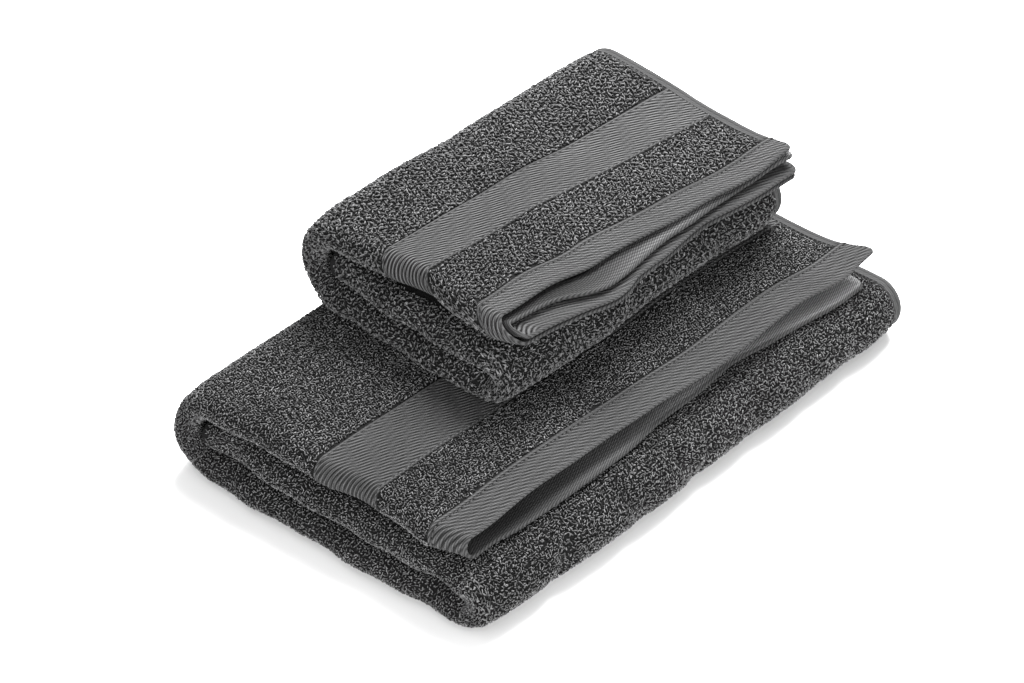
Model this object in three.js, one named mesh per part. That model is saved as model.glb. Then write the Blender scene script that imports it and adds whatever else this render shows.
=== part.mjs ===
// Bath towel set: a bath towel folded into a pack, with a smaller hand towel
// folded the same way resting on top of it. Millimetres, +Z up. The long side
// of each pack runs along X, the stitched end hems face -Y, the lengthwise
// folds face -X and the open side hems face +X.
//
// Each towel is one woven sheet. It is folded end to end, so that both end
// hems lie together, then in half lengthwise, and then in three like a letter.
import * as THREE from 'three';

// ---- driving dimensions ------------------------------------------------------
const BATH_WIDTH = 750;             // flat width of the bath towel
const BATH_LENGTH = 1340;           // flat length of the bath towel
const HAND_WIDTH = 500;             // flat width of the hand towel
const HAND_LENGTH = 960;            // flat length of the hand towel

const TERRY = 4.1;                  // thickness of the looped cloth in the stack
const LAYER_GAP = 0.3;              // clearance between two lying layers
const BAND = 2.2;                   // thickness of the flat-woven border band
const END_HEM = 2.4;                // thickness of the turned end hem
const SIDE_HEM = 2.4;               // thickness of the turned side hem

const END_HEM_WIDTH = 22;           // end hem, from the edge to the loops
const SIDE_HEM_WIDTH = 9;           // side hem, from the edge to the loops
const PILE_STEP = 1.5;              // run over which the loops rise to full height
const BATH_BAND = [63, 109];        // border band: its two edges from the end hem
const HAND_BAND = [62, 100];

const BATH_TUCK = 25;               // inner end hem lies this far behind the outer
const HAND_TUCK = 5;
const BATH_FOLD_LEAD = 26;          // front fold stands this far ahead of the hem
const HAND_FOLD_LEAD = 3;
const NOSE_CLEARANCE = 1;           // the tucked leaf stops this short of the wrap

const THREAD = 0.6;                 // thickness of the sewing thread
const THREAD_GAP = 0.25;            // clearance between thread and hem
const SEAM_INSET = 1.8;             // seam, inside the inner border of its hem

const HAND_OFFSET = [49, 44];       // hand towel's centre from the bath towel's
const HAND_TURN = -3.3;             // hand towel's turn about Z, degrees

// ---- derived sizes -----------------------------------------------------------
const PITCH = TERRY + LAYER_GAP;    // from one layer's middle to the next
const LEAF = 4 * PITCH;             // one leaf of the letter fold is four layers
const WRAP_RADIUS = LEAF;           // back fold, middle of the leaf
const FRONT_RADIUS = LEAF / 2;      // front fold, middle of the leaf
const OUTER_BEND = 1.5 * PITCH;     // lengthwise fold of the outer layer pair
const INNER_BEND = 0.5 * PITCH;     // lengthwise fold of the layers inside it
const PACK_HEIGHT = 3 * LEAF - LAYER_GAP;
const BEND_PARTS = 10;              // flats in each half turn of a leaf
const HAIRPIN_PARTS = 8;            // flats in each half turn of a layer
const THREAD_SIDES = 5;

const CLOTH_COLOUR = 0x4b4c4e;
const THREAD_COLOUR = 0x55565a;

/** Lays out one folded towel: where each leaf starts and ends. */
function layOut(width, length, band, tuck, foldLead) {
  const nose = Math.PI * INNER_BEND;
  const pathLength = (length - nose + tuck) / 2;
  const bends = Math.PI * (WRAP_RADIUS + FRONT_RADIUS);
  const frontReach = FRONT_RADIUS + 2 * PITCH;
  const wrapReach = WRAP_RADIUS + 2 * PITCH;
  const leaves = pathLength - bends + NOSE_CLEARANCE;
  const depth = (leaves + 3 * wrapReach + foldLead + 2 * frontReach) / 3;
  const wrapY = depth / 2 - wrapReach;
  const foldY = frontReach - depth / 2;
  const hemY = foldLead - depth / 2;
  const straight = (width - Math.PI * OUTER_BEND) / 2;
  const bendX = OUTER_BEND + TERRY / 2 - (straight + OUTER_BEND + TERRY / 2) / 2;
  return {
    width, length, band, tuck, nose, pathLength, depth, wrapY, foldY, hemY, bendX,
    top: wrapY - hemY,
    bottom: wrapY - foldY,
  };
}

/** Middle line of the leaf at run s from the outer end hem, in the YZ plane. */
function leafPath(towel, s) {
  const wrapEnd = towel.top + Math.PI * WRAP_RADIUS;
  const frontStart = wrapEnd + towel.bottom;
  const frontEnd = frontStart + Math.PI * FRONT_RADIUS;
  const topZ = 2.5 * LEAF;
  const bottomZ = 0.5 * LEAF;
  if (s <= towel.top) {
    return { y: towel.hemY + s, z: topZ, outY: 0, outZ: 1 };
  }
  if (s < wrapEnd) {
    const turn = (s - towel.top) / WRAP_RADIUS;
    const [outY, outZ] = [Math.sin(turn), Math.cos(turn)];
    const y = towel.wrapY + WRAP_RADIUS * outY;
    return { y, z: topZ - WRAP_RADIUS + WRAP_RADIUS * outZ, outY, outZ };
  }
  if (s <= frontStart) {
    return { y: towel.wrapY - (s - wrapEnd), z: bottomZ, outY: 0, outZ: -1 };
  }
  if (s < frontEnd) {
    const turn = (s - frontStart) / FRONT_RADIUS;
    const [outY, outZ] = [-Math.sin(turn), -Math.cos(turn)];
    const y = towel.foldY + FRONT_RADIUS * outY;
    return { y, z: bottomZ + FRONT_RADIUS + FRONT_RADIUS * outZ, outY, outZ };
  }
  return { y: towel.foldY + s - frontEnd, z: 1.5 * LEAF, outY: 0, outZ: 1 };
}

/**
 * Cross fold of the sheet. A run v from the outer end hem becomes a run s on
 * the leaf path and a bend radius: large for the outer half of the sheet,
 * small for the half inside it. lift is the height above the sheet's middle.
 */
function crossFold(towel, v, lift) {
  const { pathLength, nose } = towel;
  if (v <= pathLength) {
    return { s: v, middle: OUTER_BEND, bend: OUTER_BEND + lift };
  }
  if (v < pathLength + nose) {
    const turn = (v - pathLength) / INNER_BEND;
    const middle = PITCH + INNER_BEND * Math.cos(turn);
    const bend = PITCH + (INNER_BEND + lift) * Math.cos(turn);
    return { s: pathLength + (INNER_BEND + lift) * Math.sin(turn), middle, bend };
  }
  const s = pathLength - (v - pathLength - nose);
  return { s, middle: INNER_BEND, bend: INNER_BEND - lift };
}

/** Point of the folded sheet at (u across, v along, lift above its middle). */
function sheetPoint(towel, u, v, lift) {
  const { s, middle, bend } = crossFold(towel, v, lift);
  const straight = (towel.width - Math.PI * middle) / 2;
  let x = towel.bendX;
  let out = 0;
  if (u <= straight) {
    x += straight - u;
    out = bend;
  } else if (u >= towel.width - straight) {
    x += u - (towel.width - straight);
    out = -bend;
  } else {
    const turn = (u - straight) / middle;
    x -= bend * Math.sin(turn);
    out = bend * Math.cos(turn);
  }
  const path = leafPath(towel, s);
  const z = path.z + out * path.outZ - LAYER_GAP / 2;
  return new THREE.Vector3(x, path.y + out * path.outY, z);
}

/** Equal steps from one value to another, both ends kept. */
function steps(from, to, parts) {
  const list = [];
  for (let i = 0; i <= parts; i += 1) {
    list.push(from + ((to - from) * i) / parts);
  }
  return list;
}

/** Columns of the sheet's grid at run v: hem lines and the lengthwise fold. */
function gridColumns(towel, v) {
  const { middle } = crossFold(towel, v, 0);
  const straight = (towel.width - Math.PI * middle) / 2;
  const hem = [0, SIDE_HEM_WIDTH, SIDE_HEM_WIDTH + PILE_STEP];
  const mirrored = hem.map((u) => towel.width - u).reverse();
  return [...hem, ...steps(straight, towel.width - straight, HAIRPIN_PARTS), ...mirrored];
}

/** Runs at which the leaf path starts, turns and ends. */
function bendRuns(towel) {
  const wrapEnd = towel.top + Math.PI * WRAP_RADIUS;
  const frontStart = wrapEnd + towel.bottom;
  return [
    ...steps(towel.top, wrapEnd, BEND_PARTS),
    ...steps(frontStart, frontStart + Math.PI * FRONT_RADIUS, BEND_PARTS),
  ];
}

/** Rows of the sheet's grid: hem and band borders, leaf turns and cross fold. */
function gridRows(towel) {
  const [bandStart, bandEnd] = towel.band;
  const borders = [
    0, END_HEM_WIDTH, END_HEM_WIDTH + PILE_STEP,
    bandStart - PILE_STEP, bandStart, bandEnd, bandEnd + PILE_STEP,
  ];
  const bends = bendRuns(towel);
  const outer = [...borders, ...bends];
  const innerBends = bends.map((s) => s - towel.tuck);
  const inner = [...borders, ...innerBends].map((v) => towel.length - v).reverse();
  const turn = steps(towel.pathLength, towel.pathLength + towel.nose, HAIRPIN_PARTS);
  return [...outer, ...turn, ...inner];
}

/** Thickness of the cloth: loops, except on the hems and the border band. */
function thickness(towel, u, v) {
  const edge = Math.min(u, towel.width - u);
  const end = Math.min(v, towel.length - v);
  if (edge <= SIDE_HEM_WIDTH) {
    return SIDE_HEM;
  }
  if (end <= END_HEM_WIDTH) {
    return END_HEM;
  }
  return end >= towel.band[0] && end <= towel.band[1] ? BAND : TERRY;
}

/** Closed body from a grid of points on each of the sheet's two faces. */
function closedSheet(face, back) {
  const rows = face.length;
  const columns = face[0].length;
  const points = [...face.flat(), ...back.flat()];
  const at = (side, i, j) => side * rows * columns + i * columns + j;
  const index = [];
  const quad = (a, b, c, d) => index.push(a, b, c, a, c, d);
  for (let i = 0; i < rows - 1; i += 1) {
    for (let j = 0; j < columns - 1; j += 1) {
      quad(at(0, i, j), at(0, i, j + 1), at(0, i + 1, j + 1), at(0, i + 1, j));
      quad(at(1, i, j), at(1, i + 1, j), at(1, i + 1, j + 1), at(1, i, j + 1));
    }
  }
  for (let i = 0; i < rows - 1; i += 1) {
    const last = columns - 1;
    quad(at(0, i, 0), at(0, i + 1, 0), at(1, i + 1, 0), at(1, i, 0));
    quad(at(0, i + 1, last), at(0, i, last), at(1, i, last), at(1, i + 1, last));
  }
  for (let j = 0; j < columns - 1; j += 1) {
    const last = rows - 1;
    quad(at(0, 0, j + 1), at(0, 0, j), at(1, 0, j), at(1, 0, j + 1));
    quad(at(0, last, j), at(0, last, j + 1), at(1, last, j + 1), at(1, last, j));
  }
  return indexedGeometry(points, index);
}

/** Geometry from points and triangle indices, turned so that faces look out. */
function indexedGeometry(points, index) {
  let volume = 0;
  for (let i = 0; i < index.length; i += 3) {
    const [a, b, c] = [points[index[i]], points[index[i + 1]], points[index[i + 2]]];
    volume += a.dot(new THREE.Vector3().crossVectors(b, c));
  }
  const outward = volume > 0 ? index : [...index].reverse();
  const geometry = new THREE.BufferGeometry();
  const positions = points.flatMap((point) => [point.x, point.y, point.z]);
  geometry.setAttribute('position', new THREE.Float32BufferAttribute(positions, 3));
  geometry.setIndex(outward);
  geometry.computeVertexNormals();
  return geometry;
}

/** The whole folded cloth of one towel. */
function clothGeometry(towel) {
  const rows = gridRows(towel);
  const side = (sign) => rows.map((v) => gridColumns(towel, v).map((u) => {
    const lift = (sign * thickness(towel, u, v)) / 2;
    return sheetPoint(towel, u, v, lift);
  }));
  return closedSheet(side(1), side(-1));
}

/**
 * Sewing thread laid on the outer face of a hem. path is a list of places on
 * the sheet, [u, v]; along tells which way it runs, 'u' or 'v'.
 */
function threadGeometry(towel, path, along) {
  const radius = THREAD / 2;
  const hem = along === 'u' ? END_HEM : SIDE_HEM;
  const lift = hem / 2 + THREAD_GAP + radius;
  const points = [];
  const index = [];
  path.forEach(([u, v], i) => {
    for (let k = 0; k < THREAD_SIDES; k += 1) {
      const turn = (2 * Math.PI * k) / THREAD_SIDES;
      const across = radius * Math.cos(turn);
      const up = lift + radius * Math.sin(turn);
      const [du, dv] = along === 'u' ? [0, across] : [across, 0];
      points.push(sheetPoint(towel, u + du, v + dv, up));
      const next = (k + 1) % THREAD_SIDES;
      const [a, b] = [i * THREAD_SIDES + k, i * THREAD_SIDES + next];
      if (i < path.length - 1) {
        index.push(a, b, b + THREAD_SIDES, a, b + THREAD_SIDES, a + THREAD_SIDES);
      }
      if (k > 0 && k < THREAD_SIDES - 1) {
        const end = (path.length - 1) * THREAD_SIDES;
        if (i === 0) {
          index.push(0, b, a);
        }
        if (i === path.length - 1) {
          index.push(end, a, b);
        }
      }
    }
  });
  return indexedGeometry(points, index);
}

/** Places along an end seam, from side to side of the towel. */
function endSeam(towel, v) {
  const columns = gridColumns(towel, v);
  const inset = SIDE_HEM_WIDTH / 2;
  const between = columns.filter((u) => u > inset && u < towel.width - inset);
  return [inset, ...between, towel.width - inset].map((u) => [u, v]);
}

/** Places along a side seam, from end to end of the towel. */
function sideSeam(towel, u) {
  const inset = END_HEM_WIDTH;
  const rows = gridRows(towel).filter((v) => v > inset && v < towel.length - inset);
  return [inset, ...rows, towel.length - inset].map((v) => [u, v]);
}

function clothMaterial() {
  return new THREE.MeshStandardMaterial({ color: CLOTH_COLOUR, roughness: 0.95, metalness: 0 });
}

function threadMaterial() {
  return new THREE.MeshStandardMaterial({ color: THREAD_COLOUR, roughness: 0.7, metalness: 0 });
}

function addMesh(group, name, geometry, material) {
  const mesh = new THREE.Mesh(geometry, material);
  mesh.name = name;
  group.add(mesh);
}

/** One towel: its cloth, the two end seams and the two side seams. */
function towelGroup(name, towel) {
  const group = new THREE.Group();
  group.name = name;
  const endInset = END_HEM_WIDTH - SEAM_INSET;
  const sideInset = SIDE_HEM_WIDTH - SEAM_INSET;
  addMesh(group, `${name}_cloth`, clothGeometry(towel), clothMaterial());
  const seams = {
    outer_end_thread: [endSeam(towel, endInset), 'u'],
    inner_end_thread: [endSeam(towel, towel.length - endInset), 'u'],
    upper_side_thread: [sideSeam(towel, sideInset), 'v'],
    lower_side_thread: [sideSeam(towel, towel.width - sideInset), 'v'],
  };
  for (const [part, [path, along]] of Object.entries(seams)) {
    addMesh(group, `${name}_${part}`, threadGeometry(towel, path, along), threadMaterial());
  }
  return group;
}

// ---- the set -----------------------------------------------------------------
const bath = layOut(BATH_WIDTH, BATH_LENGTH, BATH_BAND, BATH_TUCK, BATH_FOLD_LEAD);
const hand = layOut(HAND_WIDTH, HAND_LENGTH, HAND_BAND, HAND_TUCK, HAND_FOLD_LEAD);

const set = new THREE.Group();
set.name = 'bath_towel_set';
set.add(towelGroup('bath_towel', bath));

const handTowel = towelGroup('hand_towel', hand);
handTowel.position.set(HAND_OFFSET[0], HAND_OFFSET[1], PACK_HEIGHT + LAYER_GAP);
handTowel.rotation.z = THREE.MathUtils.degToRad(HAND_TURN);
set.add(handTowel);

// origin: middle of the overall footprint, on the resting face
const box = new THREE.Box3().setFromObject(set, true);
const centre = box.getCenter(new THREE.Vector3());
set.position.set(-centre.x, -centre.y, -box.min.z);

export default set;
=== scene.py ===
"""Bath towel set: a folded terry bath towel with a folded hand towel on it.

Each towel is one woven sheet. A place on it is given by two runs, u across
the width and v along the length, and a lift w above the middle of the cloth.
`FoldedTowel.point` carries such a place through the three folds into the
pack, so the cloth, its pile, its woven band, its hems and its seams all
follow the same folds. All sizes are in millimetres until a mesh is made.
"""
import logging
from dataclasses import dataclass, field
from enum import Enum

import bpy
import numpy as np
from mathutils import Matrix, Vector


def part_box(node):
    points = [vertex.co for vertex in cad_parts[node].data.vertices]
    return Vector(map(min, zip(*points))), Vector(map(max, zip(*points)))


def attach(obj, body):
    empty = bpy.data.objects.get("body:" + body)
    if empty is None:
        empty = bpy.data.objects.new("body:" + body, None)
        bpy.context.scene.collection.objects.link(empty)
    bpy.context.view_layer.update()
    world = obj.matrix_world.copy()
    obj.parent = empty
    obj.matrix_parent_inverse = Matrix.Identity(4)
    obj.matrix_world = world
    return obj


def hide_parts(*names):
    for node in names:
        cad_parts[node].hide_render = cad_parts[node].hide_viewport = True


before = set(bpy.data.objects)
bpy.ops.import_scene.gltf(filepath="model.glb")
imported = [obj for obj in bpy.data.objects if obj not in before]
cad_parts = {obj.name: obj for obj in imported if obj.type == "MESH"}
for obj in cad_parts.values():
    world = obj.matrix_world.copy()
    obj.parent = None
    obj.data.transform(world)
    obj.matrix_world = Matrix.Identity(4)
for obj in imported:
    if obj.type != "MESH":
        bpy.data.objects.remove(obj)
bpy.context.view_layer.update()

LOG = logging.getLogger("towels")
MM = 0.001
PI = np.pi

# cloth and fold sizes, as in the solid model
TERRY = 4.1
LAYER_GAP = 0.3
PITCH = TERRY + LAYER_GAP
LEAF = 4 * PITCH
WRAP_RADIUS = LEAF
FRONT_RADIUS = LEAF / 2
OUTER_BEND = 1.5 * PITCH
INNER_BEND = 0.5 * PITCH
REACH = OUTER_BEND + TERRY / 2          # from a bend's middle to the outer face
NOSE_CLEARANCE = 1.0
PACK_HEIGHT = 3 * LEAF - LAYER_GAP
GROUND = 0.6                            # half thickness of the cloth under loops
END_HEM_WIDTH = 22.0
SIDE_HEM_WIDTH = 8.2
END_SEAM_INSET = 3.2
SIDE_SEAM_INSET = 1.8

# how much each fold draws out the outer face
FOLD_STRETCH = REACH / OUTER_BEND
WRAP_STRETCH = (WRAP_RADIUS + REACH) / WRAP_RADIUS
FRONT_STRETCH = (FRONT_RADIUS + REACH) / FRONT_RADIUS

# where a pack's ease acts: runs from the hem, heights, or distances in from an
# edge of the pack; waves are rows for `ripple`
SLIDE_FADE = (18, 115)                  # run over which slides of the free ends fade
SHEAR_RUN = (80, 142)                   # run over which the shear sets in
HEM_FADE = (4, 50)                      # run over which the hem's own lie fades
HEM_SINK = 0.07
HEM_WAVES = ((0.7, 170, 1e6, 0.4), (0.4, 64, 1e6, 2.2))
FOLD_BLEND = 90
FOLD_WAVES = ((0.8, 83, 61, 0.3), (0.6, 37, 90, 1.7))
FRONT_BLEND = (75, 5)
CREASE_BLEND = (34, 6)
CREASE_FOOT = (1, 13)
CREASE_TOP = (26, 40)
CREASE_MIDDLE = 18
CREASE_SCALE = 1.4
BACK_CORNER = (30, 20, 4.5)             # reach in and out from the wrap, depth
LIP_CORNER = (34, 3.2)                  # reach in from +X, lift
LIP_EDGE = (30, 1.2)                    # reach in from +X, drop

# spacing of the ground's rows in each span of `cloth_rows`, and of its nose
OUTER_STEPS = (2, 6, 8, 8, 8, 3.5, 5, 2.2, 5)
INNER_STEPS = (2, 6, 8, 8, 8, 3.5, 8, 2.2, 8)
NOSE_STEP = 0.9
COLUMN_STEP = 12.5

# loops: plane waves that draw them into clumps, runs of their four stations, and
# the faces of one loop with a foot, two three-sided rings and another foot
CLUMPS = ((0.5, 4.1, 9.7, 0.2), (0.5, -5.3, 4.4, 1.3), (0.45, 11.0, 3.8, 2.9),
          (0.4, 6.1, -6.7, 4.4), (0.35, -3.3, 7.9, 5.6))
STATIONS = np.array([0.0, 0.29, 0.71, 1.0])
LOOP_QUADS = np.array([[1 + k, 1 + (k + 1) % 3, 4 + (k + 1) % 3, 4 + k] for k in range(3)])
LOOP_TRIANGLES = np.array([triangle for k in range(3) for triangle in
                           ([0, 1 + (k + 1) % 3, 1 + k], [7, 4 + k, 4 + (k + 1) % 3])])
LOOPS_A_PIECE = 15000
BAND_MARGIN = 0.9                       # bare strip beside the band
SCATTER = 0.2                           # of a loop's root, in pitches
LEAN = 0.9                              # most that a loop leans over
TWIST = 0.75                            # most that it twists aside
RISE = (0.9, 1.75)
RISE_LIMITS = (0.7, 2.0)
ROOT_LIFT = 0.25
CLUMP_LIFT_AND_LIGHT = 0.3                       # how far clumps lift loops, and the painted light that brightens them
CLUMP_PULL = 1.6
TINT_LIMITS = (0.2, 2.2)

# woven band and hems: painted shade where the weave evens out, and the braided ridges
EVEN_SHADE = (0.8, 0.55)                # painted shade, and its share past the fold
BRAID = (3.4, 0.45)                     # length of a plait, and its slant
CORD_TURN = (8, 10, 1.45)               # start past the fold's middle, span, strength
SEAM_SEAT = 1.22                        # height of the stitches over the cloth's middle

FLOAT, COLOR, VECTOR = "NodeSocketFloat", "NodeSocketColor", "NodeSocketVector"


class Slot(Enum):
    """Material slots of the record."""

    CLOTH = "terry_cloth"
    THREAD = "sewing_thread"


class Body(Enum):
    """Bodies of the solid model."""

    BATH = "bath_towel"
    HAND = "hand_towel"


# ---- helpers
def smooth(x: np.ndarray, low: float, high: float) -> np.ndarray:
    """Smooth step: 0 at low, 1 at high, with level ends.

    Args:
        x: values.
        low: where the step starts.
        high: where it ends.

    Returns:
        3t^2 - 2t^3 for t running from 0 to 1 between low and high.
    """
    t = np.clip((x - low) / (high - low), 0.0, 1.0)
    return t * t * (3.0 - 2.0 * t)


def curve(x: np.ndarray, knots: tuple) -> np.ndarray:
    """Smooth curve through knots, level at and beyond the two ends.

    Args:
        x: where to read it.
        knots: rows of (place, value), rising in place.

    Returns:
        Values of a cubic between neighbouring knots; the slope at a knot is
        that of the line from the knot before it to the knot after it.
    """
    place, value = np.array(knots, dtype=float).T
    slope = np.zeros(len(place))
    slope[1:-1] = (value[2:] - value[:-2]) / (place[2:] - place[:-2])
    i = np.clip(np.searchsorted(place, x) - 1, 0, len(place) - 2)
    span = place[i + 1] - place[i]
    t = np.clip((x - place[i]) / span, 0.0, 1.0)
    ease = t * t * (3.0 - 2.0 * t)
    bulge = t * (1 - t) * ((1 - t) * slope[i] - t * slope[i + 1]) * span
    return value[i] + (value[i + 1] - value[i]) * ease + bulge


def ripple(x: np.ndarray, y: np.ndarray, waves: tuple) -> np.ndarray:
    """Sum of plane waves.

    Args:
        x: first coordinate.
        y: second coordinate.
        waves: rows of (size, length along x, length along y, phase).

    Returns:
        Sum of size * sin(2 pi (x / lx + y / ly) + phase).
    """
    total = np.zeros(np.broadcast(x, y).shape)
    for size, long_x, long_y, phase in waves:
        total = total + size * np.sin(2 * PI * (x / long_x + y / long_y) + phase)
    return total

def cord_section(at: np.ndarray) -> tuple:
    """Section of round cords lying side by side.

    Args:
        at: place across the cords, with one cord to each whole number.

    Returns:
        Place across the cord from -1 to 1, and its height, which is the root
        of a half circle.
    """
    side = 2 * (at - np.floor(at)) - 1
    return side, np.sqrt(np.clip(1 - side ** 2, 0, 1))


def even_runs(knots: list, steps: tuple) -> np.ndarray:
    """Runs from the first knot to the last with a spacing for each span.

    Args:
        knots: values at which spans meet; each is kept.
        steps: wanted spacing in each span.

    Returns:
        Rising values.
    """
    spans = []
    for low, high, step in zip(knots[:-1], knots[1:], steps):
        count = max(1, int(round((high - low) / step)))
        spans.append(np.linspace(low, high, count, endpoint=False))
    return np.concatenate([*spans, [knots[-1]]])


def grid_faces(rows: int, columns: int, round_rows: bool = False) -> np.ndarray:
    """Quads of a grid of points stored row by row.

    Args:
        rows: number of rows.
        columns: number of columns.
        round_rows: whether the last column joins the first.

    Returns:
        Array of four indices for each quad.
    """
    across = np.arange(columns if round_rows else columns - 1)
    i, j = np.meshgrid(np.arange(rows - 1), across, indexing="ij")
    k = (j + 1) % columns
    quads = [i * columns + j, i * columns + k, (i + 1) * columns + k, (i + 1) * columns + j]
    return np.stack(quads, axis=-1).reshape(-1, 4)


def mesh_object(name: str, points: np.ndarray, faces: np.ndarray,
                flat: np.ndarray | None = None, shades: dict | None = None,
                extra: np.ndarray | None = None) -> bpy.types.Object:
    """Makes a smooth shaded object from arrays.

    Args:
        name: object's name.
        points: places in metres, one row each.
        faces: quads, as indices.
        flat: place of each point on the flat cloth in metres, kept as a UV map.
        shades: values for each point, kept as attributes by name.
        extra: triangles, as indices, put after the quads.

    Returns:
        The new object, linked to the scene.
    """
    mesh = bpy.data.meshes.new(name)
    corners = faces.reshape(-1)
    sizes = np.full(len(faces), 4)
    if extra is not None:
        corners = np.concatenate([corners, extra.reshape(-1)])
        sizes = np.concatenate([sizes, np.full(len(extra), 3)])
    starts = np.concatenate([[0], np.cumsum(sizes)[:-1]])
    mesh.vertices.add(len(points))
    mesh.vertices.foreach_set("co", points.astype(np.float32).reshape(-1))
    mesh.loops.add(len(corners))
    mesh.loops.foreach_set("vertex_index", corners.astype(np.int32))
    mesh.polygons.add(len(sizes))
    mesh.polygons.foreach_set("loop_start", starts.astype(np.int32))
    mesh.polygons.foreach_set("loop_total", sizes.astype(np.int32))
    mesh.polygons.foreach_set("use_smooth", np.ones(len(sizes), dtype=bool))
    if flat is not None:
        layer = mesh.uv_layers.new(name="cloth")
        layer.data.foreach_set("uv", flat[corners].astype(np.float32).reshape(-1))
    for key, values in (shades or {}).items():
        attribute = mesh.attributes.new(key, "FLOAT", "POINT")
        attribute.data.foreach_set("value", values.astype(np.float32))
    mesh.update()
    mesh.validate()
    made = bpy.data.objects.new(name, mesh)
    bpy.context.scene.collection.objects.link(made)
    return made


# ---- finishes
def feed(tree: bpy.types.NodeTree, node: bpy.types.Node, inputs: dict) -> None:
    """Sets or links inputs of a node.

    Args:
        tree: the node's tree.
        node: the node.
        inputs: a value, or the socket to link, by the input's name or number.
    """
    for key, value in inputs.items():
        if isinstance(value, bpy.types.NodeSocket):
            tree.links.new(value, node.inputs[key])
        else:
            node.inputs[key].default_value = value


def add_node(tree: bpy.types.NodeTree, kind: str, inputs: dict | None = None,
             **settings: object) -> bpy.types.Node:
    """Adds a node to a tree.

    Args:
        tree: the tree.
        kind: the node's class name.
        inputs: as for `feed`.
        settings: the node's own settings.

    Returns:
        The node.
    """
    made = tree.nodes.new(kind)
    for key, value in settings.items():
        setattr(made, key, value)
    feed(tree, made, inputs or {})
    return made


def new_group(name: str, inputs: dict, outputs: dict) -> tuple:
    """Makes a node group with its sockets.

    Args:
        name: the group's name.
        inputs: socket class and default value, or None, by name.
        outputs: socket class by name.

    Returns:
        The group and the sockets that hold its inputs.
    """
    group = bpy.data.node_groups.new(name, "ShaderNodeTree")
    for key, (kind, value) in inputs.items():
        made = group.interface.new_socket(name=key, in_out="INPUT", socket_type=kind)
        if value is not None:
            made.default_value = value
    for key, kind in outputs.items():
        group.interface.new_socket(name=key, in_out="OUTPUT", socket_type=kind)
    return group, add_node(group, "NodeGroupInput").outputs


def yarn_group() -> bpy.types.NodeTree:
    """Spun yarn: fine fibres over slow changes of dye.

    Returns:
        Group with Vector, Fibre Size, Dye Size, Dark and Light in, and Color
        and Height out. Colour runs from Dark to Light with a mix of two
        noises, one the size of a fibre and one the size of a hand.
    """
    group, given = new_group(
        "spun_yarn",
        {"Vector": (VECTOR, None), "Fibre Size": (FLOAT, 1500.0), "Dye Size": (FLOAT, 25.0),
         "Dark": (COLOR, (0.1, 0.1, 0.1, 1)), "Light": (COLOR, (0.2, 0.2, 0.2, 1))},
        {"Color": COLOR, "Height": FLOAT})
    fibre = add_node(group, "ShaderNodeTexNoise",
                     {"Vector": given["Vector"], "Scale": given["Fibre Size"],
                      "Detail": 3.0, "Roughness": 0.6}).outputs["Fac"]
    dye = add_node(group, "ShaderNodeTexNoise",
                   {"Vector": given["Vector"], "Scale": given["Dye Size"],
                    "Detail": 2.0}).outputs["Fac"]
    shift = add_node(group, "ShaderNodeMath", {0: dye, 1: 0.6, 2: -0.15},
                     operation="MULTIPLY_ADD")
    blend = add_node(group, "ShaderNodeMath", {0: fibre, 1: 0.7, 2: shift.outputs[0]},
                     operation="MULTIPLY_ADD")
    mix = add_node(group, "ShaderNodeMix",
                   {"Factor": blend.outputs[0], 6: given["Dark"], 7: given["Light"]},
                   data_type="RGBA")
    add_node(group, "NodeGroupOutput", {"Color": mix.outputs[2], "Height": fibre})
    return group


def weave_group() -> bpy.types.NodeTree:
    """Short slanted floats of the weft across a cord or a hem.

    Returns:
        Group with Vector, Count and Slant in, and Mask out. Mask is a wave
        that runs aslant of the cloth, broken up by a little noise.
    """
    group, given = new_group(
        "weft_floats", {"Vector": (VECTOR, None), "Count": (FLOAT, 100.0),
                        "Slant": (FLOAT, 0.6)}, {"Mask": FLOAT})
    turn = add_node(group, "ShaderNodeVectorRotate",
                    {"Vector": given["Vector"], "Angle": given["Slant"]},
                    rotation_type="Z_AXIS")
    wave = add_node(group, "ShaderNodeTexWave",
                    {"Vector": turn.outputs["Vector"], "Scale": given["Count"],
                     "Distortion": 1.2, "Detail": 2.0, "Detail Scale": 3.0},
                    wave_type="BANDS", bands_direction="X")
    add_node(group, "NodeGroupOutput", {"Mask": wave.outputs["Fac"]})
    return group


def scaled(tree: bpy.types.NodeTree, color: bpy.types.NodeSocket,
           mask: bpy.types.NodeSocket, low: float = 0.0,
           high: float = 1.0) -> bpy.types.NodeSocket:
    """Multiplies a colour by a mask mapped from low to high.

    Args:
        tree: the material's tree.
        color: colour to change.
        mask: mask, mostly from 0 to 1.
        low: factor where the mask is 0.
        high: factor where the mask is 1.

    Returns:
        The changed colour's socket.
    """
    span = add_node(tree, "ShaderNodeMapRange",
                    {"Value": mask, "To Min": low, "To Max": high}, clamp=False)
    mix = add_node(tree, "ShaderNodeMix",
                   {"Factor": 1.0, 6: color, 7: span.outputs["Result"]},
                   data_type="RGBA", blend_type="MULTIPLY")
    return mix.outputs[2]


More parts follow.
